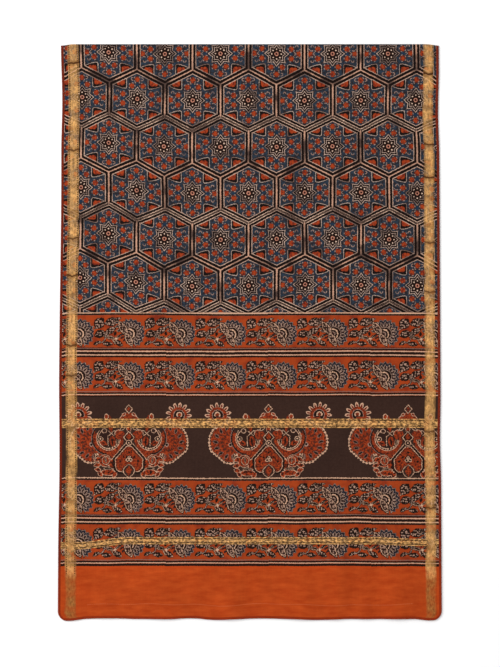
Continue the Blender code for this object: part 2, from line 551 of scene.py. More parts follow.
def place_point(across, station, cloth, hem):
    """Outer and inner point of the cloth, and the distance from its outline."""
    w = station.from_hem
    full = full_half_width(w)
    hem_y = -0.5 * FOLDED_LENGTH
    inset = corner_inset(w)
    if station.layer != "upper":
        inset += LOWER_INSET * ease((FOLDED_LENGTH - w) / INSET_RUN)
    share = 2.0 * across / FLAT_WIDTH - 1.0
    edge_run = 0.5 * FLAT_WIDTH * (1.0 - abs(share))
    flat_half = full - inset
    scaled = flat_half - edge_run * flat_half / (0.5 * FLAT_WIDTH)
    x = math.copysign(scaled, share)
    edge = from_edge(x, full if station.layer == "upper" else full - LOWER_INSET, w)
    edge = max(0.0, edge)
    half_thick = hem_half_thick(edge, cloth, hem)
    y = hem_y + w - fold_drop(x) * ease(w / FOLDED_LENGTH)
    reach = hem_reach(x) - (0.0 if station.layer == "upper" else LOWER_INSET)
    y -= reach * (1.0 - ease(w / HEM_WAVE_RUN))

    seen_x = x + edge_shift(x, w)
    if station.layer == "lower":
        return (seen_x, y, 0.0), (seen_x, y, 2.0 * half_thick), edge
    to_fold = FOLDED_LENGTH - UPPER_LEVEL - w
    fade = ease(to_fold / FOLD_FADE)
    if station.layer == "upper":
        in_hem = ease((HEM_WIDTH - edge) / (0.4 * HEM_WIDTH))
        middle = UPPER_LEVEL - 0.5 * cloth
        middle += in_hem * (HEM_LIFT + 0.5 * hem - middle)
        middle += (lift(x, y) + pucker_lift(x, full, w)) * fade
        return (seen_x, y, middle + half_thick), (seen_x, y, middle - half_thick), edge
    angle = math.pi * (0.5 - station.turn)
    outer = 0.5 * UPPER_LEVEL
    inner = outer - 2.0 * min(half_thick, FOLD_ROOM * outer)
    turned = [(seen_x, y + radius * math.cos(angle), outer + radius * math.sin(angle))
              for radius in (outer, inner)]
    return turned[0], turned[1], edge


def print_place(zone, across, station):
    """Where a point falls in its zone's own drawing."""
    w = station.from_hem
    if zone.name == "star_cells":
        skew = CELL_ROW_SKEW * (across - 0.5 * FLAT_WIDTH) / (0.4 * FLAT_WIDTH)
        run = station.flat - FOLDED_LENGTH
        sag = CELL_SAG * bump(across - CELL_SAG_X, CELL_SAG_HALF) * max(-run, 0.0)
        rise = CELL_LEFT_RISE * ease((CELL_LEFT_X - across) / CELL_LEFT_RUN)
        down = CELL_DROP - rise + sag
        return across - CELL_STRETCH * (across - CELL_SAG_X), (-run - down) / (1.0 + skew)
    share = (w - zone.low) / (zone.high - zone.low)
    return across, zone.print_low + share * (zone.print_high - zone.print_low)


# Where each part of the cloth lies on the OFBake map, and the margin at its ends.
BakeArea = namedtuple("BakeArea", "low high")
BAKE_UPPER = BakeArea(0.005, 0.640)
BAKE_LOWER = BakeArea(0.652, 0.955)
BAKE_INSIDE = BakeArea(0.965, 0.995)
BAKE_MARGIN = 0.005


def bake_place(across, station, inside):
    """Where a point falls on the OFBake map: the face that shows is large."""
    area = BAKE_UPPER if station.flat <= FOLDED_LENGTH else BAKE_LOWER
    along = station.flat / FOLDED_LENGTH
    if station.flat > FOLDED_LENGTH:
        along = 2.0 - along
    if inside:
        area = BAKE_INSIDE
        along = station.flat / FLAT_LENGTH
    share = across / FLAT_WIDTH
    up = BAKE_MARGIN + (1.0 - 2.0 * BAKE_MARGIN) * along
    return area.low + share * (area.high - area.low), up


def build_cloth_mesh(cloth, hem):
    """The folded cloth as one closed mesh with its flat, print and bake maps."""
    columns = make_columns()
    stations = make_stations()
    grid = [[place_point(across, station, cloth, hem) for station in stations]
            for across in columns]
    ys = [outer[1] for row in grid for outer, _, _ in row]
    middle_y = 0.5 * (min(ys) + max(ys))
    vertices = []
    for skin in (0, 1):
        for row in grid:
            vertices += [(x, y - middle_y, z) for x, y, z in (entry[skin] for entry in row)]

    count = len(stations)
    last = len(columns) - 1
    hem_index = MATERIAL_ORDER.index("hem")
    faces = []
    looks = []
    maps = {"Cloth": [], "Print": [], "OFBake": []}

    def zone_of(s):
        """The zone of the row of faces above a station."""
        if stations[s].layer == "lower":
            return stations[s].zone
        return stations[min(s + 1, count - 1)].zone

    def look_of(c, s, inside):
        """The material of a face above a column and a station."""
        edge = 0.5 * (grid[c][s][2] + grid[c + 1][s + 1][2])
        if edge < HEM_MARGIN:
            return hem_index
        return MATERIAL_ORDER.index("inside" if inside else ZONES[zone_of(s)].name)

    def add_face(corners, look, zone, inside=False):
        """A face from its corners: column, station, and 0 for the outer or 1 for the inner skin."""
        faces.append([(skin * (last + 1) + c) * count + s for c, s, skin in corners])
        looks.append(look)
        for c, s, _ in corners:
            maps["Cloth"] += (columns[c], stations[s].flat)
            maps["Print"] += print_place(ZONES[zone], columns[c], stations[s])
            maps["OFBake"] += bake_place(columns[c], stations[s], inside)

    for c in range(last):
        for s in range(count - 1):
            outer = [(c, s, 0), (c + 1, s, 0), (c + 1, s + 1, 0), (c, s + 1, 0)]
            add_face(outer, look_of(c, s, False), zone_of(s))
            inner = [(c, s, 1), (c, s + 1, 1), (c + 1, s + 1, 1), (c + 1, s, 1)]
            add_face(inner, look_of(c, s, True), zone_of(s), inside=True)
    for c, way in ((0, 1), (last, -1)):
        for s in range(count - 1):
            wall = [(c, s, 0), (c, s + 1, 0), (c, s + 1, 1), (c, s, 1)]
            add_face(wall[::way], hem_index, zone_of(s))
    for s, way in ((0, -1), (count - 1, 1)):
        for c in range(last):
            wall = [(c, s, 0), (c + 1, s, 0), (c + 1, s, 1), (c, s, 1)]
            add_face(wall[::way], hem_index, stations[s].zone)

    mesh = bpy.data.meshes.new("scarf_cloth")
    mesh.from_pydata(vertices, [], faces)
    for name, places in maps.items():
        mesh.uv_layers.new(name=name).data.foreach_set("uv", places)
    mesh.polygons.foreach_set("material_index", looks)
    mesh.shade_smooth()
    mesh.update()
    return mesh


class Value:
    """A number worked out by shader nodes, so that plain sums can be written with it."""

    def __init__(self, ink, socket):
        self.ink = ink
        self.socket = socket

    def __add__(self, other):
        return self.ink.sum("ADD", self, other)

    def __radd__(self, other):
        return self.ink.sum("ADD", other, self)

    def __sub__(self, other):
        return self.ink.sum("SUBTRACT", self, other)

    def __rsub__(self, other):
        return self.ink.sum("SUBTRACT", other, self)

    def __mul__(self, other):
        return self.ink.sum("MULTIPLY", self, other)

    def __rmul__(self, other):
        return self.ink.sum("MULTIPLY", other, self)

    def __truediv__(self, other):
        return self.ink.sum("DIVIDE", self, other)

    def __neg__(self):
        return self.ink.sum("MULTIPLY", self, -1.0)

    def __abs__(self):
        return self.ink.sum("ABSOLUTE", self)

    def least(self, other):
        """The smaller of the two."""
        return self.ink.sum("MINIMUM", self, other)

    def most(self, other):
        """The greater of the two."""
        return self.ink.sum("MAXIMUM", self, other)

    def above(self, other):
        """1 where this is the greater of the two, else 0."""
        return self.ink.sum("GREATER_THAN", self, other)

    def scaled(self, factor, more, clamp=False):
        """This times factor, and then more."""
        return self.ink.sum("MULTIPLY_ADD", self, factor, more, clamp)


class Ink:
    """Adds shader nodes one after another, in the order in which they are worked out."""

    def __init__(self, material):
        self.tree = material.node_tree
        self.tree.nodes.clear()
        self.made = 0

    def node(self, kind, **settings):
        """A node of a kind, laid out in rows."""
        node = self.tree.nodes.new(kind)
        node.location = (160 * (self.made % 30), -220 * (self.made // 30))
        node.hide = True
        self.made += 1
        for name, value in settings.items():
            setattr(node, name, value)
        return node

    def feed(self, socket, value):
        """Joins a worked-out value to a socket, or sets the socket's own number."""
        if isinstance(value, Value):
            value = value.socket
        if isinstance(value, bpy.types.NodeSocket):
            self.tree.links.new(value, socket)
        else:
            socket.default_value = value

    def sum(self, operation, a, b=0.0, c=0.0, clamp=False):
        """One step of sums with up to three numbers."""
        node = self.node("ShaderNodeMath", operation=operation, use_clamp=clamp)
        for socket, value in zip(node.inputs, (a, b, c)):
            self.feed(socket, value)
        return Value(self, node.outputs[0])

    def vector(self, operation, a, b=(0.0, 0.0, 0.0), c=(0.0, 0.0, 0.0)):
        """One step of sums with up to three places."""
        node = self.node("ShaderNodeVectorMath", operation=operation)
        for socket, value in zip(node.inputs, (a, b, c)):
            self.feed(socket, value)
        return node.outputs[0]

    def scale(self, place, factor):
        """A place or a colour, times factor."""
        node = self.node("ShaderNodeVectorMath", operation="SCALE")
        self.feed(node.inputs[0], place)
        self.feed(node.inputs["Scale"], factor)
        return node.outputs[0]

    def distance(self, place, x, y):
        """Distance from a point of the drawing."""
        node = self.node("ShaderNodeVectorMath", operation="DISTANCE")
        self.feed(node.inputs[0], place)
        node.inputs[1].default_value = (x, y, 0.0)
        return Value(self, node.outputs[1])

    def split(self, place):
        """The x and y of a place."""
        node = self.node("ShaderNodeSeparateXYZ")
        self.feed(node.inputs[0], place)
        return Value(self, node.outputs[0]), Value(self, node.outputs[1])

    def join(self, x, y):
        """A place from its x and y."""
        node = self.node("ShaderNodeCombineXYZ")
        self.feed(node.inputs[0], x)
        self.feed(node.inputs[1], y)
        return node.outputs[0]

    def slope(self, value, start, stop, high):
        """Goes smoothly from 0 at start to high at stop."""
        node = self.node("ShaderNodeMapRange", interpolation_type="SMOOTHSTEP")
        for socket, number in zip(node.inputs, (value, start, stop, 0.0, high)):
            self.feed(socket, number)
        return Value(self, node.outputs[0])

    def turned(self, place, x, y, long, wide, degrees):
        """The place as a shape sees it that lies at x, y with these half sizes."""
        node = self.node("ShaderNodeMapping", vector_type="TEXTURE")
        self.feed(node.inputs["Vector"], place)
        node.inputs["Location"].default_value = (x, y, 0.0)
        node.inputs["Rotation"].default_value = (0.0, 0.0, math.radians(degrees))
        node.inputs["Scale"].default_value = (long, wide, 1.0)
        return node.outputs[0]

    def wrap(self, value, half):
        """The value brought between -half and half by whole steps."""
        return self.sum("WRAP", value, half, -half)

    def noise(self, place, scale, detail=0.0, rough=0.5, colour=False):
        """Cloudy noise over the drawing, as one number or as a colour."""
        node = self.node("ShaderNodeTexNoise", noise_dimensions="2D")
        self.feed(node.inputs["Vector"], place)
        node.inputs["Scale"].default_value = scale
        node.inputs["Detail"].default_value = detail
        node.inputs["Roughness"].default_value = rough
        return node.outputs["Color"] if colour else Value(self, node.outputs["Fac"])

    def cover(self, depth, soft=SOFT):
        """How much ink lies at a depth inside a shape, in millimetres."""
        return self.sum("MULTIPLY_ADD", depth, 1.0 / soft, 0.5, clamp=True)

    def blend(self, share, low, high):
        """One colour over another."""
        node = self.node("ShaderNodeMix", data_type="RGBA", blend_type="MIX")
        self.feed(node.inputs[0], share)
        self.feed(node.inputs[6], low)
        self.feed(node.inputs[7], high)
        return node.outputs[2]

    def pick(self, share, low, high):
        """One place or another."""
        node = self.node("ShaderNodeMix", data_type="VECTOR")
        self.feed(node.inputs[0], share)
        self.feed(node.inputs[4], low)
        self.feed(node.inputs[5], high)
        return node.outputs[1]

    def ring(self, distance, radius, half):
        """Depth inside a ring line."""
        return half - abs(distance - radius)

    def leaf(self, place, x, y, long, wide, degrees):
        """Depth inside a leaf with two pointed ends."""
        along, across = self.split(self.turned(place, x, y, long, wide, degrees))
        bend = (along * -1.0).scaled(along, 1.0)
        return (bend - abs(across)) * (0.85 * wide)

    def oval(self, place, x, y, long, wide, degrees):
        """Depth inside an oval."""
        seen = self.turned(place, x, y, long, wide, degrees)
        node = self.node("ShaderNodeVectorMath", operation="LENGTH")
        self.feed(node.inputs[0], seen)
        return (1.0 - Value(self, node.outputs[1])) * min(long, wide)

    def diamond(self, place, x, y, long, wide, degrees):
        """Depth inside a straight-sided diamond."""
        along, across = self.split(self.turned(place, x, y, long, wide, degrees))
        return (1.0 - abs(along) - abs(across)) * (long * wide / math.hypot(long, wide))

    def bar(self, place, x, y, long, thick, degrees):
        """Depth inside a straight line with round ends."""
        along, across = self.split(self.turned(place, x, y, 1.0, 1.0, degrees))
        past = (abs(along) - long).most(0.0)
        return thick - self.sum("SQRT", past * past + across * across)

    def polar(self, place, x, y):
        """Distance and angle round a point."""
        across, along = self.split(self.vector("SUBTRACT", place, (x, y, 0.0)))
        reach = self.sum("SQRT", across * across + along * along)
        return reach, self.sum("ARCTAN2", along, across)

    def spokes(self, reach, turn, half_degrees):
        """Place along and across the nearest of even spokes round a point."""
        turn = self.wrap(turn, math.radians(half_degrees))
        return reach * self.sum("COSINE", turn), reach * self.sum("SINE", turn)

    def dots(self, place, spots):
        """Depth inside the nearest of some round dots."""
        depths = [dot.radius - self.distance(place, dot.x, dot.y) for dot in spots]
        return functools.reduce(Value.most, depths)

    def form(self, place, mark):
        """Depth inside a mark of a table."""
        forms = {"leaf": self.leaf, "oval": self.oval, "bar": self.bar, "diamond": self.diamond}
        return forms[mark.form](place, mark.x, mark.y, mark.long, mark.wide, mark.degrees)


# A mark of the print, in millimetres: its middle, its half sizes and its turn, then how far its
# dark edge reaches out, how wide its cream line is, and the name of its fill.
Mark = namedtuple("Mark", "form x y long wide degrees edge line fill", defaults=(0.0, 0.0, "red"))

# Marks of a flower strip, round the middle of a palmette.
FLOWER_MARKS = (
    Mark("bar", -51.4, 4.6, 4.4, 0.35, 24, 0.9, 0.0, "cream"),
    Mark("bar", -36.2, -8.2, 6.4, 0.3, -24, 0.9, 0.0, "cream"),
    Mark("bar", -24.2, -14.4, 4.6, 0.3, -62, 0.9, 0.0, "cream"),
    Mark("leaf", -48.6, -16.8, 5.6, 2.2, 26, 0.7, 0.0, "dotted"),
    Mark("leaf", -27.4, 14.4, 10.4, 5.6, 15, 1.0, 0.0, "dotted"),
    Mark("leaf", -18.4, 18.6, 5.4, 1.7, 14, 0.6, 0.0, "dotted"),
    Mark("leaf", -46.0, 12.6, 9.4, 7.0, 52, 0.9, 0.0, "dotted"),
    Mark("leaf", -29.6, 1.2, 9.2, 3.9, 28, 0.9, 0.0, "dotted"),
    Mark("leaf", -35.6, -5.2, 4.4, 2.6, -10, 0.7, 0.0, "dotted"),
    Mark("leaf", -28.0, -8.8, 5.6, 1.9, -16, 0.7, 0.3, "black"),
    Mark("leaf", -16.4, -7.0, 4.8, 1.5, 34, 0.7, 0.3, "black"),
    Mark("leaf", -22.2, -3.0, 2.8, 1.2, 80, 0.8, 0.0, "black"),
    Mark("leaf", -33.2, -18.0, 7.2, 2.9, -6, 0.8, 0.0, "dotted"),
    Mark("leaf", -16.6, -17.2, 6.8, 3.3, -34, 0.8, 0.0, "dotted"),
    Mark("oval", -20.8, -10.6, 1.8, 1.8, 0, 0.6, 0.0, "cream"),
    Mark("bar", -20.8, -10.6, 3.2, 0.3, 20, 0.0, 0.0, "cream"),
    Mark("bar", -20.8, -10.6, 3.2, 0.3, 100, 0.0, 0.0, "cream"),
    Mark("leaf", -19.6, 13.6, 3.8, 1.8, 24, 0.7, 0.3, "slate"),
    Mark("leaf", -19.0, 7.4, 3.8, 1.8, 4, 0.7, 0.3, "slate"),
    Mark("leaf", -16.4, 1.2, 3.6, 1.7, -14, 0.7, 0.3, "slate"),
)

# The two lobes at the foot of a palmette.
CALYX_MARKS = (
    Mark("leaf", -10.4, 4.8, 12.2, 4.9, -57, 1.3, 0.6, "lined"),
    Mark("leaf", -1.8, -11.4, 11.4, 4.5, -62, 1.3, 0.6, "lined"),
)

# The foot at each side of a medallion's heart: its forms run into one another.
FOOT_MARKS = (
    Mark("oval", 30.8, 7.6, 11.4, 4.6, 0),
    Mark("oval", 25.4, 19.0, 4.6, 9.6, 8),
    Mark("oval", 35.8, 25.0, 9.2, 9.2, 0),
    Mark("leaf", 45.9, 27.4, 6.0, 3.6, -28),
    Mark("leaf", 47.0, 18.6, 5.8, 3.5, -12),
    Mark("leaf", 46.4, 11.6, 5.4, 3.4, 16),
    Mark("leaf", 42.8, 5.4, 5.4, 3.2, 46),
    Mark("leaf", 21.2, 4.8, 5.4, 3.6, -62),
)

# Marks inside the bowl of a medallion.
BOWL_MARKS = (
    Mark("oval", 24.2, 54.0, 7.6, 4.6, 80),
    Mark("leaf", 24.6, 53.6, 6.4, 1.5, 84, 0.0, 0.0, "black"),
    Mark("leaf", 17.4, 53.6, 6.8, 1.7, 94, 0.0, 0.4, "black"),
    Mark("leaf", 38.2, 51.4, 6.4, 3.6, 24),
    Mark("leaf", 38.2, 51.4, 3.0, 1.0, 24, 0.0, 0.0, "black"),
    Mark("bar", 31.2, 54.4, 7.4, 0.35, 88, 0.3, 0.0, "cream"),
    Mark("bar", 26.2, 65.6, 5.2, 0.35, 40, 0.3, 0.0, "cream"),
    Mark("bar", 26.2, 65.6, 5.2, 0.35, -44, 0.3, 0.0, "cream"),
    Mark("oval", 42.4, 57.4, 4.0, 3.6, 0, 0.0, 0.6, "black"),
    Mark("oval", 42.4, 57.4, 1.2, 1.2, 0, 0.0, 0.0, "cream"),
    Mark("oval", 36.4, 69.4, 3.8, 3.5, 0, 0.0, 0.7, "brown"),
    Mark("leaf", 17.6, 67.8, 5.6, 2.2, -42, 0.0, 0.6, "red"),
)

# Other marks of half a medallion, from its middle line and its foot line.
MEDALLION_MARKS = (
    Mark("oval", 34.6, 25.4, 5.6, 6.4, 0, 0.7, 0.6, "red"),
    Mark("leaf", 34.6, 26.4, 4.6, 1.3, 84, 0.3, 0.3, "black"),
    Mark("leaf", 31.0, 13.4, 7.4, 1.5, 0, 0.4, 0.3, "black"),
    Mark("oval", 12.8, 62.8, 7.4, 5.8, -24, 0.6, 0.0, "red"),
    Mark("leaf", 8.8, 73.2, 6.0, 2.4, -40, 0.5, 0.6, "brown"),
    Mark("leaf", 0.0, 72.4, 8.4, 3.4, 90, 0.6, 0.6, "red"),
    Mark("diamond", 0.0, 59.6, 9.4, 8.4, 90, 1.4, 0.8, "black"),
    Mark("diamond", 0.0, 60.6, 5.6, 4.0, 90),
    Mark("oval", 0.0, 51.6, 4.4, 4.0, 0, 0.8, 0.8, "black"),
    Mark("oval", 0.0, 51.6, 1.0, 1.0, 0, 0.0, 0.0, "cream"),
    Mark("leaf", 27.6, 80.0, 13.0, 4.0, 82),
    Mark("oval", 50.4, 80.4, 5.4, 7.0, 20),
    Mark("leaf", 10.2, 88.2, 5.2, 3.0, -36, 0.5, 0.7, "red"),
    Mark("diamond", 0.0, 89.6, 9.0, 9.6, 90, 0.4, 0.0, "red"),
    Mark("leaf", 7.4, 93.4, 3.8, 2.3, -30, 0.4, 0.7, "red"),
    Mark("diamond", 0.0, 101.4, 7.0, 6.0, 90, 0.5, 0.8, "brown"),
    Mark("diamond", 0.0, 101.2, 3.4, 2.6, 90),
    Mark("oval", 33.4, 90.4, 3.4, 4.4, 0, 0.5, 0.8, "red"),
)


# The drop at the foot of a medallion's heart.
DROP_MARKS = (
    Mark("leaf", 0.0, 10.1, 10.0, 8.8, 90, 1.2, 0.8, "brown"),
    Mark("diamond", 0.0, 10.1, 8.0, 5.0, 90),
)

# Round dots of the drawings, in millimetres.
Dot = namedtuple("Dot", "x y radius")
SCROLL_DOTS = (
    Dot(29.2, 4.4, 0.72),
    Dot(33.8, 6.0, 0.62),
    Dot(26.4, 1.6, 0.72),
    Dot(3.0, 23.8, 0.72),
    Dot(13.0, 12.9, 0.62),
)
CORNER_LOBES = (Dot(22.4, 23.2, 3.9), Dot(27.2, 22.4, 2.9), Dot(21.4, 27.2, 3.0))
HEART_SPOTS = (Dot(0.0, 37.6, 1.6), Dot(7.8, 30.6, 1.5), Dot(13.4, 24.2, 1.7))

# Middles of the red flowers in a quarter of a star cell.
FLOWER_CENTRES = ((0.0, 29.0), (8.1, 18.9), (21.4, 6.9), (32.6, 0.0))

Stripe = namedtuple("Stripe", "y half colour broken")
# Stripes along a pair of flower strips, in millimetres from the line between the two.
STRIPES = (
    Stripe(8.3, 0.35, "black", False),
    Stripe(7.1, 0.5, "dull", False),
    Stripe(5.4, 1.25, "black", False),
    Stripe(2.9, 0.8, "cream", False),
    Stripe(0.1, 1.85, "black", False),
    Stripe(-2.7, 0.8, "cream", False),
    Stripe(-4.9, 1.35, "black", False),
    Stripe(56.9, 0.35, "dull", True),
    Stripe(58.2, 1.45, "black", False),
    Stripe(60.6, 1.2, "cream", False),
    Stripe(-57.2, 0.5, "dull", False),
    Stripe(-59.6, 1.3, "black", False),
    Stripe(-61.5, 0.62, "cream", False),
    Stripe(-64.3, 1.7, "black", False),
)


class Cloth:
    """The parts of a material that every zone of the cloth shares, with its print so far."""

    def __init__(self, name):
        self.name = name
        self.material = bpy.data.materials.new(name)
        self.material.use_nodes = True
        self.ink = Ink(self.material)
        self.flat = self.millimetres("Cloth")
        self.colour = None

    def millimetres(self, name):
        """The place on one of the cloth's maps, in millimetres."""
        place = self.ink.node("ShaderNodeUVMap", uv_map=name)
        return self.ink.scale(place.outputs[0], 1.0 / MM)

    def from_ends(self):
        """Distances from the left edge and from the nearer hem end, in millimetres."""
        x, y = self.ink.split(self.flat)
        return x, LENGTH_MM - abs(y - LENGTH_MM)

    def drawing(self, wobble=1.3, bleed=0.28):
        """The zone's own drawing place in millimetres, as uneven as hand printing."""
        ink = self.ink
        centred = ink.vector("SUBTRACT", self.millimetres("Print"), (0.5 * WIDTH_MM, 0.0, 0.0))
        slow = ink.noise(self.flat, 0.011, 1.0, colour=True)
        moved = ink.vector("MULTIPLY_ADD", slow, (2.0 * wobble,) * 3, centred)
        fast = ink.noise(self.flat, 0.55, colour=True)
        moved = ink.vector("MULTIPLY_ADD", fast, (4.0 * bleed,) * 3, moved)
        shift = wobble + 2.0 * bleed
        moved = ink.vector("SUBTRACT", moved, (shift, shift, 0.0))
        # Neighbouring prints of the wood block sit a little higher or lower.
        x, y = ink.split(moved)
        block = ink.sum("FLOOR", x.scaled(1.0 / BLOCK_PITCH, BLOCK_START))
        step = ink.sum("PINGPONG", block, 1.0)
        return ink.join(x, step.scaled(BLOCK_STEP, y))

    def paint(self, depth, colour, soft=SOFT):
        """Lays a colour over the print wherever depth is above zero."""
        self.colour = self.ink.blend(self.ink.cover(depth, soft), self.colour, colour)

    def nest(self, depth, outlines):
        """Lays outlines inside one another, each at its own depth."""
        for inset, colour in outlines:
            self.paint(depth - inset, colour)

    def discs(self, reach, spots, soft=SOFT):
        """Lays round spots on one middle, the largest first."""
        for radius, colour in spots:
            self.paint(radius - reach, colour, soft)

    def marks(self, place, marks, fills):
        """Lays each mark over the last: its dark edge, its cream line and its fill."""
        for mark in marks:
            depth = self.ink.form(place, mark)
            if mark.edge > 0.0:
                self.paint(depth + mark.edge, fills["edge"])
            if mark.line > 0.0:
                self.paint(depth, fills["cream"])
            self.paint(depth - mark.line, fills[mark.fill])

    def finish(self, gold=True):
        """Woven gold with its painted sheen and pucker shade, uneven dye, thread texture and the
        shader itself.
        """
        ink = self.ink
        cloud = ink.noise(self.flat, 0.022, 3.0, 0.6)
        slub = ink.noise(ink.vector("MULTIPLY", self.flat, (0.05, 1.6, 0.0)), 1.0, 1.0)
        warp = ink.noise(ink.vector("MULTIPLY", self.flat, (1.3, 0.02, 0.0)), 1.0, 1.0)
        shade = cloud.scaled(0.36, 0.82) * slub.scaled(0.22, 0.89) * warp.scaled(0.14, 0.93)
        colour = ink.scale(self.colour, shade)

        x, y = ink.split(self.flat)
        weave = ink.sum("SINE", x * WEAVE_TURNS) + ink.sum("SINE", y * WEAVE_TURNS)
        crumple = ink.noise(self.flat, 0.045, 2.0, 0.55)
        height = weave * 0.012 + crumple * 0.9 + slub * 0.10
        metal = 0.0
        rough = CLOTH_ROUGH
        if gold:
            colour, metal, rib = self.gold_bands(colour)
            height = height + rib
            rough = metal.scaled(-0.55, CLOTH_ROUGH)
        relief = ink.node("ShaderNodeBump")
        relief.inputs["Strength"].default_value = 1.0
        relief.inputs["Distance"].default_value = MM
        ink.feed(relief.inputs["Height"], height)

        shader = ink.node("ShaderNodeBsdfPrincipled")
        ink.feed(shader.inputs["Base Color"], colour)
        ink.feed(shader.inputs["Normal"], relief.outputs[0])
        ink.feed(shader.inputs["Metallic"], metal)
        ink.feed(shader.inputs["Roughness"], rough)
        shader.inputs["Specular IOR Level"].default_value = 0.06
        output = ink.node("ShaderNodeOutputMaterial")
        ink.feed(output.inputs["Surface"], shader.outputs[0])
        return self.material

    def puckers(self, side):
        """The puckers of one side that lie on this material's zones."""
        held = []
        for pucker in PUCKERS:
            for zone in ZONES:
                if pucker.side == side and zone.name == self.name:
                    if zone.low - PUCKER_MARGIN < pucker.from_hem < zone.high + PUCKER_MARGIN:
                        held.append(pucker)
        return held

    def gold_bands(self, colour):
        """Gold thread woven over the print, with the dark thread edges beside it, a painted sheen,
        and painted shade at its puckers.
        """
        ink = self.ink
        x, y = self.from_ends()
        sway = ink.noise(self.flat, 0.03, 1.0).scaled(1.8, -0.9)
        left = BAND_LEFT_HALF - abs(x + sway - BAND_LEFT)
        right = BAND_RIGHT_HALF - abs(WIDTH_MM - x + sway - BAND_RIGHT)
        upright = left.most(right)
        upper = STRIP_HALF - abs(y + sway * 0.4 - STRIP_UPPER)
        bent = y + sway * 0.3
        for bend in STRIP_BENDS:
            bent = bent + ink.slope(x, bend.start, bend.stop, bend.drop)
        level = upper.most(LOWER_STRIP_HALF - abs(bent - STRIP_LOWER))
        depth = upright.most(level)
        is_level = level.above(upright)
        along = is_level * (x - y) + y
        across = is_level * (y - x) + x
        plain_side = (1.0 - is_level) * right.above(left)

        # Where the thread gathers the cloth, bowed creases cross the band. Their darkening is
        # painted shade: a soft wide shade at every pucker, and a sharp dark line at the darkest.
        rough = ink.noise(self.flat, 0.14, 2.0).scaled(3.2, -1.6)
        crease_shade = ink.sum("ADD", 0.0)
        shade = ink.sum("ADD", 0.0)
        for side, band in ((-1, left), (1, right)):
            bowed = (band * band).scaled(0.030, y + rough)
            held = ink.cover(band + 1.0, 1.0)
            for pucker in self.puckers(side):
                gap = abs(bowed - pucker.from_hem / MM)
                soft = ink.slope(gap, SHADE_REACH, PUCKER_CORE, pucker.dark)
                shade = shade.most(held * soft)
                if pucker.dark > SHARP_PUCKER:
                    sharp = ink.slope(gap, CREASE_SHADE_REACH, PUCKER_CORE, pucker.dark)
                    crease_shade = crease_shade.most(held * sharp)

        # The thread's speckled brightness is part uneven thread and part painted sheen, a tenth
        # stronger on the right band, and the thread is bronze near the hem end.
        speckle = ink.noise(ink.join(along * 0.21, across * 0.36), 1.0, 4.0, 0.7)
        contrast = is_level.scaled(4.8, 3.1)
        sheen = (speckle - 0.5).scaled(contrast, is_level.scaled(-0.20, 1.25)).most(0.28)
        sheen = sheen * plain_side.scaled(0.10, 1.0)
        golden = ink.slope(y + sway * 6.0, BRONZE_END, BRONZE_END + 10.0, 1.0).most(is_level)
        metal_ink = ink.blend(golden, BRONZE, tuple(bpy.context.scene.scarf_sizes.gold_colour))
        thread = ink.scale(metal_ink, sheen)

        # It covers the print in part, and more along the middle of a band.
        patchy = ink.noise(self.flat, 0.07, 2.0)
        shown = ink.cover(depth - 2.0, 0.8).scaled(0.28, 0.36)
        shown = (patchy - 0.5).scaled(1.2, shown).most(is_level * 0.72)
        woven = ink.blend(shown, colour, thread)

        # A dotted dark line runs near each side of a band.
        dots = ink.sum("SINE", along * is_level.scaled(-0.9, 1.9) + rough * 2.0 * is_level)
        line = (0.85 - abs(depth - 2.4)).least(dots * 0.7 + 0.25 + is_level * 0.25)
        line = line.least((patchy * 6.0 - 2.0).most(is_level)).least(y * 0.2 - 13.0)
        line_share = ink.cover(line, 0.8) * plain_side.scaled(-0.6, 0.85)
        woven = ink.blend(line_share, woven, screen(52, 29, 15))
        # Painted shade at the puckers, then the painted dark crease lines over it.
        woven = ink.blend(shade * 0.62, woven, screen(116, 74, 32))
        woven = ink.blend(crease_shade, woven, screen(74, 42, 18))
        band = ink.cover(depth, 0.3)
        rib = band * (ink.sum("SINE", along * 6.0) * 0.035 + 0.12 + speckle * 0.25 - crease_shade * 0.4)
        return ink.blend(band, colour, woven), band * 0.20, rib


def star_cells():
    """Six-sided cells in staggered rows, each with a star, flowers and four corner pieces."""
    cloth = Cloth("star_cells")
    ink = cloth.ink
    shifted = ink.vector("SUBTRACT", cloth.drawing(), (CELL_X, CELL_FROM_FOLD, 0.0))
    half_period = (CELL_HALF, CELL_ROW, 0.5)

    def nearest(offset):
        """The place in the nearest cell of every second row."""
        moved = ink.vector("ADD", shifted, offset)
        return ink.vector("WRAP", moved, half_period, tuple(-size for size in half_period))

    def inside(cell):
        """Depth inside a cell's straight sides."""
        x, y = ink.split(ink.vector("ABSOLUTE", cell))
        slant = x.scaled(-CELL_SLANT / CELL_HALF, CELL_SIDE + CELL_SLANT) - y
        return (CELL_HALF - x).least(slant * CELL_SLANT_COSINE)

    odd = nearest((0.0, 0.0, 0.0))
    even = nearest((CELL_HALF, CELL_ROW, 0.0))
    odd_depth = inside(odd)
    even_depth = inside(even)
    is_even = even_depth.above(odd_depth)
    cell = ink.pick(is_even, odd, even)
    edge = odd_depth.most(even_depth)
    quarter = ink.vector("ABSOLUTE", cell)

    worn = ink.noise(cloth.flat, 0.030, 2.0).scaled(5.0, -2.2, clamp=True)
    fine = ink.noise(cloth.flat, 0.26, 2.0)
    mottle = fine.scaled(4.4, -1.75, clamp=True)
    cloth.colour = ink.blend(mottle, screen(38, 50, 63), screen(37, 32, 34))
    flower_red = ink.blend(mottle, RED, screen(124, 46, 26))
    cell_scrolls(cloth, quarter, worn)
    cell_flowers(cloth, quarter, fine, flower_red)
    cell_corners(cloth, quarter, edge, fine, worn, flower_red)
    cell_star(cloth, cell, worn)
    cell_borders(cloth, cell, edge, is_even, worn)

    # The cream line under the field.
    _, flat_y = ink.split(cloth.flat)
    sway = ink.noise(cloth.flat, 0.02)
    cloth.paint(0.75 - abs(flat_y + sway * 1.6 - 0.8 - ZONES[-1].low / MM), CREAM)
    return cloth.finish()


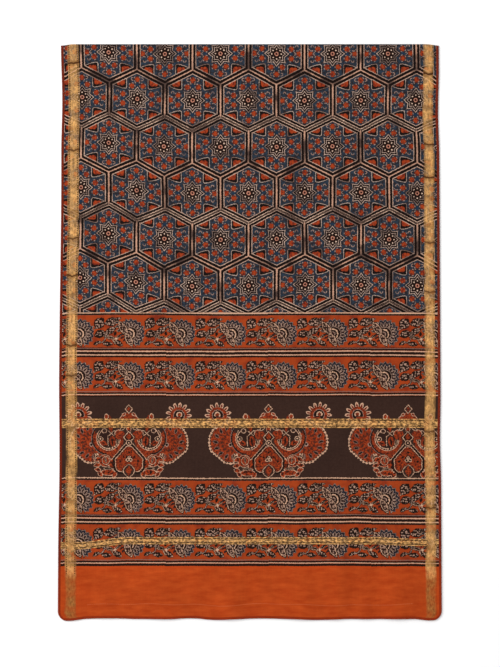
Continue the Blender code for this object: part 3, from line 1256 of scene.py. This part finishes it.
def cell_scrolls(cloth, quarter, worn):
    """Small cream scrolls and dots beside the flowers, and the dark eyes between."""
    ink = cloth.ink
    x, y = ink.split(quarter)
    scroll = ink.ring(ink.distance(quarter, 7.0, 29.2), 2.0, 0.42).least(x - 6.2)
    scroll = scroll.most(ink.ring(ink.distance(quarter, 29.4, 10.2), 2.0, 0.42).least(y - 9.6))
    scroll = scroll.most(ink.dots(quarter, SCROLL_DOTS))
    cloth.paint(scroll, ink.blend(worn, PALE, DULL), 0.7)
    eye = ink.distance(quarter, 21.4, 0.0).least(ink.distance(quarter, 0.0, 20.4))
    cloth.paint(2.0 - eye, screen(25, 45, 65), 0.8)


def cell_flowers(cloth, quarter, fine, flower_red):
    """Red flowers: the nearest one of the quarter cell is drawn."""
    ink = cloth.ink
    near = None
    for centre in FLOWER_CENTRES:
        reach = ink.distance(quarter, *centre)
        place = ink.vector("SUBTRACT", quarter, (*centre, 0.0))
        if near is None:
            near, middle = reach, place
        else:
            middle = ink.pick(near.above(reach), middle, place)
            near = near.least(reach)
    across, along = ink.split(middle)
    lobes = ink.sum("COSINE", ink.sum("ARCTAN2", along, across) * FLOWER_LOBES)
    petal = lobes.scaled(FLOWER_LOBE, FLOWER_RADIUS) - near
    beads = (0.5 - abs(petal + 1.5)).least(lobes * -1.5 - 0.6)
    cloth.paint(petal + 0.5, BLACK, 1.4)
    cloth.paint(beads, PALE, 0.7)
    cloth.paint(petal - 0.1, flower_red, 0.8)
    cloth.paint((fine * 5.0 - 2.9).least(petal - 0.6), DEEP_RED, 0.8)


def cell_corners(cloth, quarter, edge, fine, worn, flower_red):
    """Red corner pieces with lobes, inside a curved line with one round corner."""
    ink = cloth.ink
    x, y = ink.split(quarter)
    step = (x - 16.0).most(0.0)
    curve = y - (step * 0.0140).scaled(step, 17.6)
    side = x - 18.6
    short = (-side).most(0.0)
    low = (-curve).most(0.0)
    corner = side.least(curve).most(0.0) + 3.0 - ink.sum("SQRT", short * short + low * low)
    cloth.paint(corner.least(edge - 5.0) + 0.6, BLACK, 1.0)
    cloth.paint(corner, ink.blend(worn, screen(168, 148, 136), DULL))
    cloth.paint(corner - 0.85, screen(22, 13, 11))
    lobes = ink.dots(quarter, CORNER_LOBES)
    cloth.paint(lobes, flower_red, 0.8)
    cloth.paint((fine * 6.0 - 3.6).least(lobes), DEEP_RED, 0.8)
    cloth.paint(0.7 - ink.distance(quarter, 18.6, 29.8), PALE, 0.6)


def cell_star(cloth, cell, worn):
    """The star, as nested outlines that share one straight-edged distance."""
    ink = cloth.ink
    reach, turn = ink.polar(cell, 0.0, 0.0)
    fold = ink.sum("PINGPONG", turn, math.pi / 8.0)
    along = reach * ink.sum("COSINE", fold)
    across = reach * ink.sum("SINE", fold)
    star = (STAR_REACH - along) * STAR_SIDE[0] - across * STAR_SIDE[1]
    pale = ink.blend(worn, screen(186, 158, 142), screen(128, 106, 96))
    cloth.paint(star + 0.7, BLACK, 1.0)
    cloth.nest(star, ((0.0, pale), (0.75, CELL_DARK), (2.75, pale), (3.4, screen(30, 15, 11))))
    out = along - BEADS_REACH
    dot = ink.sum("SQRT", out * out + across * across)
    cloth.paint(0.95 - dot, screen(210, 180, 158), 0.5)
    cloth.discs(reach, ((2.9, screen(182, 122, 100)), (1.7, screen(62, 24, 18)), (0.8, BLACK)))


def cell_borders(cloth, cell, edge, is_even, worn):
    """Lines round the cells. Every second zigzag is wider, where two rows of blocks meet, and
    has thin lines along its middle in place of one broad line."""
    ink = cloth.ink
    x, _ = ink.split(ink.vector("ABSOLUTE", cell))
    _, y = ink.split(cell)
    on_slant = (CELL_HALF - x).above(edge + 0.02)
    wide = on_slant * (y * (is_even * 2.0 - 1.0)).above(0.0)
    outward = edge - wide
    cloth.paint(5.5 - outward, ink.blend(worn, screen(186, 152, 132), screen(116, 95, 85)))
    cloth.paint(4.55 - outward, CELL_DARK)
    middle = on_slant.scaled(-0.3, 1.10) - edge
    broad = ink.blend(worn, screen(186, 142, 118), screen(76, 58, 51))
    cloth.paint(middle - wide * 9.0, broad)
    thin = ink.blend(worn, screen(214, 178, 154), screen(134, 107, 94))
    lines = ink.blend(ink.cover(0.34 - edge, 0.3), CELL_DARK, screen(104, 80, 68))
    lines = ink.blend(ink.cover(0.38 - abs(edge - 1.8), 0.25), lines, thin)
    cloth.colour = ink.blend(wide * ink.cover(2.3 - edge, 0.4), cloth.colour, lines)


def flower_strips():
    """Two strips of palmettes, florets and leaves between sets of stripes."""
    cloth = Cloth("flower_strips")
    ink = cloth.ink
    x, y = ink.split(cloth.drawing(wobble=1.0, bleed=0.48))
    _, stripe_y = ink.split(cloth.drawing(wobble=1.0, bleed=0.22))
    fine = ink.noise(cloth.flat, 0.30, 1.0)
    smudge = ink.noise(cloth.flat, 0.06, 3.0).scaled(3.4, -1.6, clamp=True)
    cloth.colour = ink.blend(smudge, GROUND_RED, screen(120, 40, 20))
    local_x = ink.sum("WRAP", x - FLOWER_X, FLOWER_WINDOW, FLOWER_WINDOW - FLOWER_PITCH)
    local = ink.join(local_x, y - ink.sum("SIGN", y) * STRIP_Y)

    # Pale specks fill the florets and leaves.
    cells = ink.node("ShaderNodeTexVoronoi", voronoi_dimensions="2D", feature="F1")
    ink.feed(cells.inputs["Vector"], local)
    cells.inputs["Scale"].default_value = 0.32
    cells.inputs["Randomness"].default_value = 0.8
    speck = ink.cover(0.30 - Value(ink, cells.outputs["Distance"]), 0.16)
    dotted = ink.blend(speck, BLACK, screen(170, 134, 115))
    fills = {
        "edge": BLACK,
        "cream": CREAM,
        "dull": DULL,
        "black": BLACK,
        "dotted": dotted,
        "lined": ink.blend(speck, screen(46, 27, 21), screen(166, 130, 110)),
        "slate": ink.blend(fine, BLACK, screen(37, 41, 53)),
    }
    cloth.marks(local, FLOWER_MARKS, fills)

    # A curved stem hangs from the second floret.
    hook = ink.ring(ink.distance(local, -45.0, -7.6), 8.8, 1.3).least(local_x + 48.0)
    cloth.nest(hook, ((0.0, BLACK), (0.95, PALE)))
    cloth.nest(ink.leaf(local, -44.8, -3.2, 8.2, 4.8, 22), ((-1.1, BLACK), (0.0, dotted)))
    palmette(cloth, local, fills)

    gaps = fine * 3.2 - 1.3
    for stripe in STRIPES:
        depth = stripe.half - abs(stripe_y - stripe.y)
        cloth.paint(depth.least(gaps) if stripe.broken else depth, fills[stripe.colour])
    cloth.paint(-66.0 - stripe_y, ORANGE)
    return cloth.finish()


def palmette(cloth, local, fills):
    """A fan of pointed petals round a banded eye, open to the upper right."""
    ink = cloth.ink
    reach, turn = ink.polar(local, *PALMETTE_MIDDLE)
    aimed = ink.wrap(turn - math.radians(PALMETTE_AIM), math.pi)
    in_fan = (PETALS_EACH_WAY * math.radians(PETAL_DEGREES) - abs(aimed)) * 12.0
    petal_x, petal_y = ink.spokes(reach, aimed, 0.5 * PETAL_DEGREES)
    petal_y = abs(petal_y)
    outer = (petal_x - 14.6) * 0.132
    outer = ((1.0 - outer * outer) * 4.6 - petal_y).least(in_fan) * 0.8
    cloth.nest(outer, ((-0.5, BLACK), (0.0, screen(152, 126, 112)), (0.5, fills["slate"])))
    inner = (petal_x - 13.2) * 0.21
    inner = (1.0 - inner * inner) * 2.1 - petal_y
    cloth.paint(inner.least(in_fan), screen(172, 140, 121))
    cloth.paint(inner - 0.6, screen(44, 26, 24))
    cloth.paint((11.0 - reach).least(in_fan), BLACK)
    cloth.paint((10.2 - reach).least(in_fan), PALE)
    cloth.paint(9.5 - reach, BLACK)
    eye = ink.distance(local, *PALMETTE_EYE)
    cloth.discs(eye, ((8.0, CREAM), (6.5, BLACK), (3.6, PALE), (2.6, screen(60, 34, 30))))
    cloth.marks(local, CALYX_MARKS, fills)


def medallions():
    """Large mirrored medallions on a dark brown ground."""
    cloth = Cloth("medallions")
    ink = cloth.ink
    x, y = ink.split(cloth.drawing(wobble=1.0, bleed=0.40))
    fine = ink.noise(cloth.flat, 0.30, 1.0)
    local = ink.join(abs(ink.wrap(x - MEDALLION_X, 0.5 * MEDALLION_PITCH)), y)
    cloth.colour = ink.blend(fine, screen(47, 29, 23), screen(56, 37, 30))
    red = ink.blend(fine.scaled(2.6, -0.8, clamp=True), RED, screen(98, 34, 20))
    grain = ink.noise(cloth.flat, 0.42, 2.0)
    red = ink.blend(ink.cover(grain * 5.0 - 3.05, 0.5), red, screen(46, 23, 16))
    fills = {
        "edge": screen(44, 27, 22),
        "cream": CREAM,
        "black": BLACK,
        "brown": cloth.colour,
        "red": red,
    }
    medallion_fan(cloth, local, red)
    medallion_bowl(cloth, local, fills)
    medallion_foot(cloth, local, fine, fills)
    medallion_heart(cloth, local, fills)
    cloth.marks(local, MEDALLION_MARKS, fills)
    medallion_sun(cloth, local, red)

    # The cream and black lines at the foot.
    cloth.paint(0.4 - y, CREAM)
    cloth.paint(-1.1 - y, BLACK)
    return cloth.finish()


def medallion_fan(cloth, local, red):
    """The scalloped fan at each side, with a beaded rim and curved dashes."""
    ink = cloth.ink
    x, y = ink.split(local)
    reach, turn = ink.polar(local, *FAN_MIDDLE)
    scallop = ink.sum("COSINE", turn * FAN_SCALLOPS)
    chord = 25.2 - x * 0.65 + y * 0.76
    rim = (FAN_RADIUS - reach).least(chord) + scallop * 0.6
    rim = rim.least((x - 49.0).most(y - 33.0))
    cloth.paint(rim, CREAM)
    cloth.paint((1.0 - abs(rim - 2.0)).least(0.4 - scallop), BLACK, 0.5)
    cloth.paint(rim - 3.0, red)
    dash = ink.join(*ink.spokes(reach, turn, DASH_HALF_DEGREES))
    bent_dash = ink.leaf(dash, 21.4, 0.4, 4.6, 2.3, 22)
    cloth.paint(bent_dash.least(rim - 3.6), DULL, 0.5)
    cloth.paint((bent_dash - 0.6).least(rim - 4.2), BLACK, 0.5)
    inner_dash = ink.leaf(dash, 12.4, -0.6, 3.0, 1.3, -24)
    cloth.paint(inner_dash.least(rim - 4.0), screen(70, 34, 24), 0.5)
    cloth.discs(ink.distance(local, 55.6, 49.0), ((3.0, PALE), (2.0, BLACK)), 0.5)
    cloth.discs(ink.distance(local, 43.0, 34.8), ((3.4, CREAM), (1.8, BLACK)), 0.5)

    # Red runs on below the bowl, between the heart and the foot.
    cloth.paint((15.0 - ink.distance(local, 31.0, 37.6)).least(42.0 - y), red)


def medallion_bowl(cloth, local, fills):
    """The round bowl inside the fan, open at the top, with a line and beads inside it."""
    ink = cloth.ink
    x, y = ink.split(local)
    reach, turn = ink.polar(local, *BOWL_MIDDLE)
    below = BOWL_TOP - y
    right_side = x - 33.0
    cloth.paint((BOWL_OUTER - reach).least(right_side), DULL)
    cloth.paint((BOWL_OUTER - 0.8 - reach).least(right_side), BLACK)
    cloth.paint((22.6 - reach).least(x - 8.2), fills["red"])
    mouth = (24.0 - reach).least(y - 66.0).least(x - 13.0).least(50.0 - x)
    cloth.paint(mouth, fills["brown"])
    cloth.paint((BOWL_INNER - reach).least(below), CREAM)
    cloth.paint(BOWL_INNER - 0.8 - reach, screen(44, 26, 20))
    cloth.paint(ink.ring(reach, BOWL_LINE, 0.45).least(x - 30.0).least(below), CREAM)
    bead_x, bead_y = ink.spokes(reach, turn, BEAD_HALF_DEGREES)
    bead_x = bead_x - BOWL_LINE
    bead = 1.25 - ink.sum("SQRT", bead_x * bead_x + bead_y * bead_y)
    cloth.paint(bead.least(33.0 - x).least(below), CREAM, 0.5)
    cloth.marks(local, BOWL_MARKS, fills)


def medallion_foot(cloth, local, fine, fills):
    """The foot at each side, one red form with a cream outline."""
    foot = functools.reduce(Value.most, [cloth.ink.form(local, mark) for mark in FOOT_MARKS])
    cloth.nest(foot, ((-0.9, fills["edge"]), (0.0, CREAM), (0.6, fills["red"])))
    cloth.paint((fine * 7.0 - 4.0).least(foot - 1.4), BLACK, 0.7)


def medallion_heart(cloth, local, fills):
    """The heart at the foot, in its own dark channel, with the drop below it."""
    ink = cloth.ink
    x, y = ink.split(local)
    lobe = 9.4 - ink.distance(local, 11.2, 17.8)
    roof = (51.0 - y - x * 1.12) * 0.666
    belly = ink.oval(local, 0.0, 27.0, 20.9, 24.0, 0)
    heart = lobe.most(roof.least(y - 14.6).least(belly))
    channel = heart.least(60.0 - y)
    cloth.paint((channel + 3.9).least(y - 27.0), CREAM)
    cloth.paint(channel + 3.2, screen(30, 18, 14))
    heart = heart.least(46.6 - y)
    cloth.nest(heart, ((0.0, CREAM), (0.85, fills["red"])))
    pips = (0.75 - abs(heart - 1.7)).least(ink.sum("SINE", (x + y) * 1.9) * 0.8)
    cloth.paint(pips, BLACK, 0.5)
    cloth.paint(ink.dots(local, HEART_SPOTS), BLACK, 0.5)
    cloth.paint(5.2 - ink.distance(local, 0.0, 27.8), screen(34, 20, 15))
    cloth.paint(ink.ring(ink.distance(local, 2.5, 26.2), 2.0, 0.4), CREAM)
    cloth.paint(ink.ring(ink.distance(local, 0.0, 30.0), 1.7, 0.4), CREAM)
    cloth.marks(local, DROP_MARKS, fills)


def medallion_sun(cloth, local, red):
    """The sun above each fan, with a curl and a seed in its middle."""
    ink = cloth.ink
    x, y = ink.split(local)
    reach, turn = ink.polar(local, *SUN_MIDDLE)
    ray = ink.join(*ink.spokes(reach, turn, RAY_HALF_DEGREES))
    cloth.paint(ink.oval(ray, 15.2, 0.0, 4.2, 2.4, 0), CREAM, 0.5)
    cloth.paint(ink.leaf(ray, 14.6, 0.0, 3.2, 1.3, 0), DEEP_RED, 0.5)
    cloth.paint(SUN_RADIUS - reach, red)
    curl = ink.distance(local, 73.9, 92.6)
    above = (y - 89.6).most(x - 76.0)
    cloth.paint((8.4 - curl).least(above), PALE)
    cloth.paint((7.8 - curl).least(above), BLACK)
    seed = ink.distance(local, 74.6, 93.4)
    cloth.paint(ink.ring(seed, 3.6, 0.8).least(y - 91.0), CREAM)
    cloth.paint(2.3 - seed, red)


def plain_end():
    """The unprinted end of the cloth."""
    cloth = Cloth("plain_end")
    ink = cloth.ink
    streaks = ink.vector("MULTIPLY", cloth.flat, (0.45, 1.5, 0.0))
    share = ink.noise(streaks, 0.09, 3.0, 0.6).scaled(2.2, -0.6, clamp=True)
    ground = tuple(bpy.context.scene.scarf_sizes.ground_colour)
    deeper = (0.88 * ground[0], 0.80 * ground[1], 0.72 * ground[2], 1.0)
    lighter = (1.10 * ground[0], 1.25 * ground[1], 1.35 * ground[2], 1.0)
    cloth.colour = ink.blend(share, deeper, lighter)
    return cloth.finish()


def hem_look():
    """The rolled hem, darker than the cloth beside it."""
    cloth = Cloth("hem")
    ink = cloth.ink
    _, y = cloth.from_ends()
    twist = ink.noise(cloth.flat, 0.7, 2.0)
    rust = ink.blend(twist, screen(74, 24, 14), screen(132, 44, 22))
    amber = ink.blend(twist, screen(112, 34, 12), screen(154, 52, 18))
    cloth.colour = ink.blend(y.scaled(-0.05, 4.3, clamp=True), rust, amber)
    return cloth.finish(gold=False)


def inside_look():
    """The faces between the layers, which hardly show."""
    cloth = Cloth("inside")
    cloth.colour = cloth.ink.blend(cloth.ink.noise(cloth.flat, 0.05, 2.0), BROWN, RUST)
    return cloth.finish(gold=False)


def place_object(name, data):
    """A new object of the scene, at the origin."""
    item = bpy.data.objects.new(name, data)
    bpy.context.scene.collection.objects.link(item)
    return item


def stitch_path():
    """A fine line along the plain end where the stitches go, on the cloth's top."""
    points = []
    for i in range(STITCH_PATH_STEPS + 1):
        x = STITCHES_START + STITCHES_RUN * i / STITCH_PATH_STEPS
        wave = sum(w.reach * math.sin(x * w.turns + w.start) for w in STITCH_WAVES)
        from_hem = STITCHES_FROM_HEM + wave
        y = -0.5 * FOLDED_LENGTH + from_hem
        z = UPPER_LEVEL + lift(x, y) + STITCHES_ABOVE
        y -= hem_reach(x) * (1.0 - ease(from_hem / HEM_WAVE_RUN))
        points.append((x, y, z))
    curve = bpy.data.curves.new("stitch_path", "CURVE")
    curve.dimensions = "3D"
    spline = curve.splines.new("POLY")
    spline.points.add(len(points) - 1)
    for point, place in zip(spline.points, points):
        point.co = (*place, 1.0)
    return place_object("stitch_path", curve)


def stitch_tree(material):
    """Geometry nodes: short threads at even steps along a path."""
    tree = bpy.data.node_groups.new("running_stitches", "GeometryNodeTree")
    face = tree.interface
    face.new_socket("Path", in_out="INPUT", socket_type="NodeSocketGeometry")
    names = {}
    for name in ("Spacing", "Length", "Thread"):
        socket = face.new_socket(name, in_out="INPUT", socket_type="NodeSocketFloat")
        names[name] = socket.identifier
    face.new_socket("Stitches", in_out="OUTPUT", socket_type="NodeSocketGeometry")

    def add(kind, label, x, y):
        """A node with its label and place in the tree."""
        node = tree.nodes.new(kind)
        node.label = label
        node.location = (x, y)
        return node

    given = add("NodeGroupInput", "sizes", -800, 0)
    spots = add("GeometryNodeResampleCurve", "even steps", -560, 120)
    spots.mode = "LENGTH"
    tangent = add("GeometryNodeInputTangent", "direction", -560, -80)
    align = add("FunctionNodeAlignRotationToVector", "along the path", -360, -80)
    align.axis = "Z"
    thread = add("GeometryNodeMeshCylinder", "one stitch", -560, -260)
    thread.inputs["Vertices"].default_value = 8
    radius = add("ShaderNodeMath", "half thread", -760, -260)
    radius.operation = "MULTIPLY"
    radius.inputs[1].default_value = 0.5
    copies = add("GeometryNodeInstanceOnPoints", "stitches", -120, 60)
    real = add("GeometryNodeRealizeInstances", "made real", 80, 60)
    paint = add("GeometryNodeSetMaterial", "thread colour", 260, 60)
    paint.inputs["Material"].default_value = material
    result = add("NodeGroupOutput", "result", 440, 60)

    links = (
        (given.outputs["Path"], spots.inputs["Curve"]),
        (given.outputs["Spacing"], spots.inputs["Length"]),
        (given.outputs["Thread"], radius.inputs[0]),
        (radius.outputs[0], thread.inputs["Radius"]),
        (given.outputs["Length"], thread.inputs["Depth"]),
        (tangent.outputs[0], align.inputs["Vector"]),
        (spots.outputs[0], copies.inputs["Points"]),
        (thread.outputs["Mesh"], copies.inputs["Instance"]),
        (align.outputs[0], copies.inputs["Rotation"]),
        (copies.outputs[0], real.inputs[0]),
        (real.outputs[0], paint.inputs["Geometry"]),
        (paint.outputs[0], result.inputs[0]),
    )
    for source, target in links:
        tree.links.new(source, target)
    return tree, names


def thread_look():
    """Pale orange sewing thread."""
    material = bpy.data.materials.new("sewing_thread")
    material.use_nodes = True
    ink = Ink(material)
    place = ink.node("ShaderNodeTexCoord")
    streak = ink.node("ShaderNodeTexNoise")
    ink.feed(streak.inputs["Vector"], place.outputs["Object"])
    streak.inputs["Scale"].default_value = 900.0
    colour = ink.blend(streak.outputs["Fac"], screen(214, 118, 66), screen(238, 160, 108))
    shader = ink.node("ShaderNodeBsdfPrincipled")
    ink.feed(shader.inputs["Base Color"], colour)
    shader.inputs["Roughness"].default_value = 0.6
    output = ink.node("ShaderNodeOutputMaterial")
    ink.feed(output.inputs["Surface"], shader.outputs[0])
    return material


class SCARF_OT_cloth(bpy.types.Operator):
    """Builds the folded cloth with its print, gold bands and rolled hem"""

    bl_idname = "scarf.cloth"
    bl_label = "Build cloth"

    def execute(self, context):
        sizes = context.scene.scarf_sizes
        mesh = build_cloth_mesh(sizes.cloth_thickness, sizes.hem_thickness)
        makers = {
            "plain_end": plain_end,
            "flower_strips": flower_strips,
            "medallions": medallions,
            "star_cells": star_cells,
            "hem": hem_look,
            "inside": inside_look,
        }
        for name in MATERIAL_ORDER:
            mesh.materials.append(makers[name]())
        cloth = place_object("scarf_cloth", mesh)
        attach(cloth, "root")
        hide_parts("scarf")
        return {"FINISHED"}


class SCARF_OT_stitches(bpy.types.Operator):
    """Sews the line of running stitches near the hem end"""

    bl_idname = "scarf.stitches"
    bl_label = "Sew stitches"

    def execute(self, context):
        sizes = context.scene.stitch_sizes
        path = stitch_path()
        tree, names = stitch_tree(thread_look())
        modifier = path.modifiers.new("stitches", "NODES")
        modifier.node_group = tree
        modifier[names["Spacing"]] = sizes.spacing
        modifier[names["Length"]] = sizes.length
        modifier[names["Thread"]] = sizes.thread
        context.view_layer.update()
        seen = path.evaluated_get(context.evaluated_depsgraph_get())
        mesh = bpy.data.meshes.new_from_object(seen)
        if len(mesh.polygons) == 0:
            raise RuntimeError("The stitch nodes made nothing.")
        bpy.data.objects.remove(path, do_unlink=True)
        stitches = place_object("hem_stitches", mesh)
        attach(stitches, "root")
        return {"FINISHED"}


class SCARF_OT_studio(bpy.types.Operator):
    """Sets the floor, the soft light and the camera that looks straight down"""

    bl_idname = "scarf.studio"
    bl_label = "Set studio"

    def execute(self, context):
        sizes = context.scene.studio_sizes
        scene = context.scene
        scene.view_settings.view_transform = "Standard"
        scene.view_settings.look = "None"

        mesh = bpy.data.meshes.new("floor")
        corners = [(x * FLOOR_HALF, y * FLOOR_HALF, FLOOR_LEVEL)
                   for x, y in ((-1, -1), (1, -1), (1, 1), (-1, 1))]
        mesh.from_pydata(corners, [], [(0, 1, 2, 3)])
        floor = place_object("floor", mesh)
        material = bpy.data.materials.new("floor")
        material.use_nodes = True
        shader = material.node_tree.nodes["Principled BSDF"]
        shader.inputs["Base Color"].default_value = screen(255, 255, 255)
        shader.inputs["Roughness"].default_value = 0.9
        shader.inputs["Specular IOR Level"].default_value = 0.1
        mesh.materials.append(material)

        world = bpy.data.worlds.new("studio")
        scene.world = world
        world.use_nodes = True
        background = world.node_tree.nodes["Background"]
        background.inputs["Color"].default_value = (1.0, 1.0, 1.0, 1.0)
        background.inputs["Strength"].default_value = sizes.surround

        light = bpy.data.lights.new("key", "AREA")
        light.shape = "RECTANGLE"
        light.size = KEY_SIZE
        light.size_y = KEY_SIZE
        light.energy = sizes.key_light
        key = place_object("key", light)
        key.location = KEY_PLACE
        direction = -key.location
        key.rotation_euler = direction.to_track_quat("-Z", "Y").to_euler()

        lens = bpy.data.cameras.new("camera")
        lens.lens = sizes.lens
        lens.sensor_width = SENSOR_WIDTH
        camera = place_object("camera", lens)
        height = FRAME_HEIGHT * sizes.lens / SENSOR_WIDTH
        camera.location = (CAMERA_X, CAMERA_Y, height + UPPER_LEVEL)
        scene.camera = camera
        return {"FINISHED"}


class SCARF_PT_panel(bpy.types.Panel):
    """Lists the steps that build the scarf"""

    bl_idname = "SCARF_PT_panel"
    bl_label = "Block-printed scarf"
    bl_space_type = "VIEW_3D"
    bl_region_type = "UI"
    bl_category = "Scarf"

    def draw(self, context):
        scene = context.scene
        steps = (
            (scene.scarf_sizes, SCARF_OT_cloth),
            (scene.stitch_sizes, SCARF_OT_stitches),
            (scene.studio_sizes, SCARF_OT_studio),
        )
        for sizes, operator in steps:
            box = self.layout.box()
            for name in sizes.__annotations__:
                box.prop(sizes, name)
            box.operator(operator.bl_idname)


CLASSES = (
    ScarfSizes,
    StitchSizes,
    StudioSizes,
    SCARF_OT_cloth,
    SCARF_OT_stitches,
    SCARF_OT_studio,
    SCARF_PT_panel,
)


def register():
    """Makes the settings, the operators and the panel known to Blender."""
    for item in CLASSES:
        bpy.utils.register_class(item)
    bpy.types.Scene.scarf_sizes = bpy.props.PointerProperty(type=ScarfSizes)
    bpy.types.Scene.stitch_sizes = bpy.props.PointerProperty(type=StitchSizes)
    bpy.types.Scene.studio_sizes = bpy.props.PointerProperty(type=StudioSizes)


def unregister():
    """Takes them away again."""
    del bpy.types.Scene.studio_sizes
    del bpy.types.Scene.stitch_sizes
    del bpy.types.Scene.scarf_sizes
    for item in reversed(CLASSES):
        bpy.utils.unregister_class(item)


def main():
    """Builds the scarf and its studio."""
    register()
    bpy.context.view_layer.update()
    bpy.ops.scarf.cloth()
    bpy.ops.scarf.stitches()
    bpy.ops.scarf.studio()


if __name__ == "__main__":
    main()
